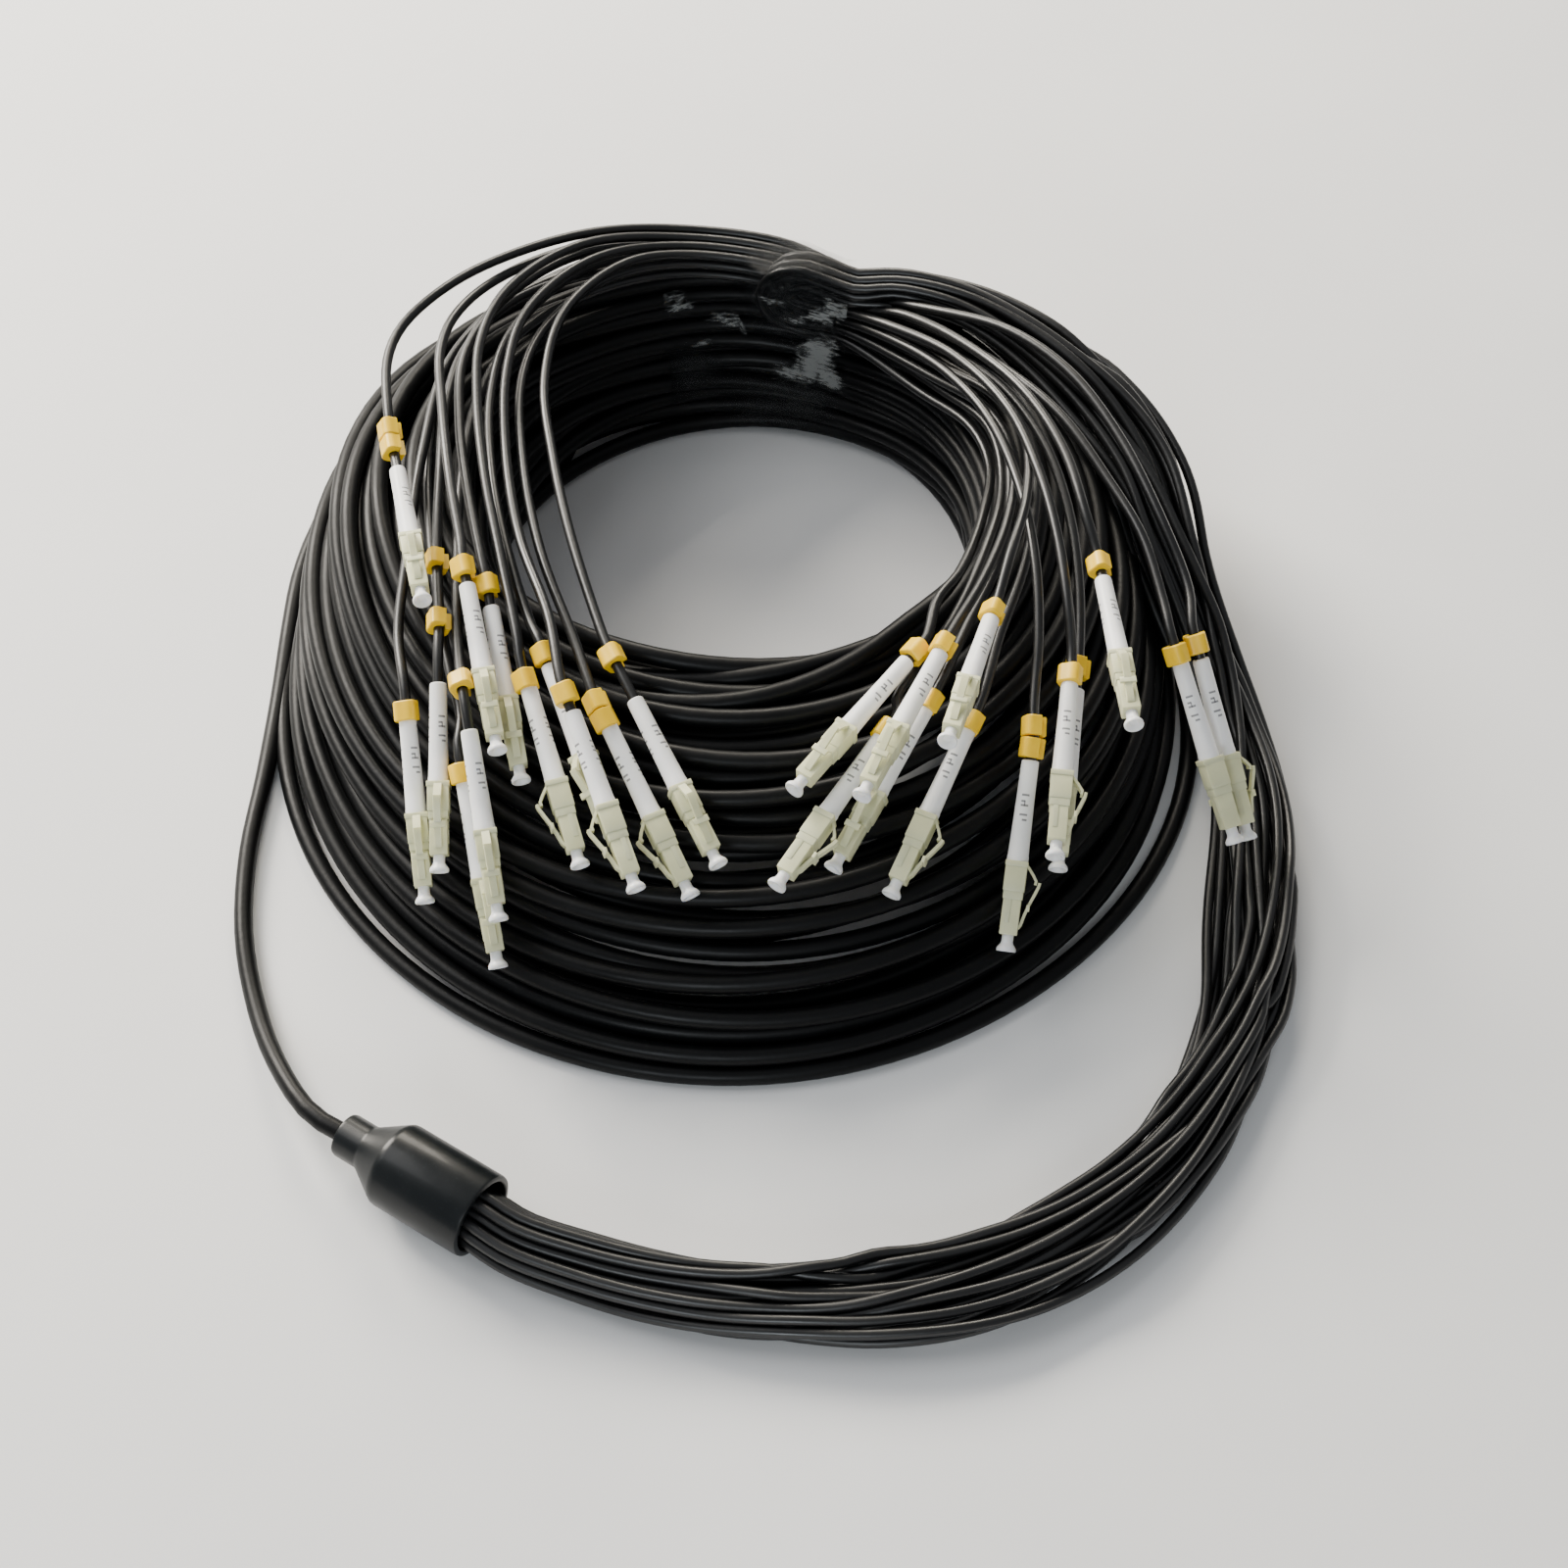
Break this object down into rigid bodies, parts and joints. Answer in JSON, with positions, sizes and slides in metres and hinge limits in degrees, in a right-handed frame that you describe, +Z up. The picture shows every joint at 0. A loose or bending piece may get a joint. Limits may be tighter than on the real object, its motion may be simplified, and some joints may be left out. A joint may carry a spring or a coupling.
{
  "type": "fibre breakout cable",
  "caption": "Coiled black fibre cable, taped at the back, with a breakout that fans into slim tails ending in capped latching plugs laid over the coil.",
  "frame": {"origin": "middle of the underside of the whole coil as it lies on a level floor", "axes": "+Z up, +Y towards the taped back of the coil, +X towards the side where the bundle of tails climbs"},
  "size_m": [0.304, 0.3708, 0.0898],
  "materials": {
    "jacket": "satin black cable jacket",
    "moulding": "glossy black shrink tube and moulding",
    "tape": "clear adhesive tape over black cable",
    "plug": "ivory plug body, white boot and cap, yellow marker ring"
  },
  "bodies": {
    "root": {"cable_coil": "jacket", "lead_cable": "jacket", "breakout_boot": "moulding", "tail_bundle": "jacket", "tape_wrap": "tape", "tail_01": "jacket", "tail_02": "jacket", "tail_03": "jacket", "tail_04": "jacket", "tail_05": "jacket", "tail_06": "jacket", "tail_07": "jacket", "tail_08": "jacket", "tail_09": "jacket", "tail_10": "jacket", "tail_11": "jacket", "tail_12": "jacket", "tail_13": "jacket", "tail_14": "jacket", "tail_15": "jacket", "tail_16": "jacket", "tail_17": "jacket", "tail_18": "jacket", "tail_19": "jacket", "tail_20": "jacket", "tail_21": "jacket", "tail_22": "jacket", "tail_23": "jacket", "tail_24": "jacket", "plug_01": "plug", "plug_02": "plug", "plug_03": "plug", "plug_04": "plug", "plug_05": "plug", "plug_06": "plug", "plug_07": "plug", "plug_08": "plug", "plug_09": "plug", "plug_10": "plug", "plug_11": "plug", "plug_12": "plug", "plug_13": "plug", "plug_14": "plug", "plug_15": "plug", "plug_16": "plug", "plug_17": "plug", "plug_18": "plug", "plug_19": "plug", "plug_20": "plug", "plug_21": "plug", "plug_22": "plug", "plug_23": "plug", "plug_24": "plug"}
  },
  "joints": []
}
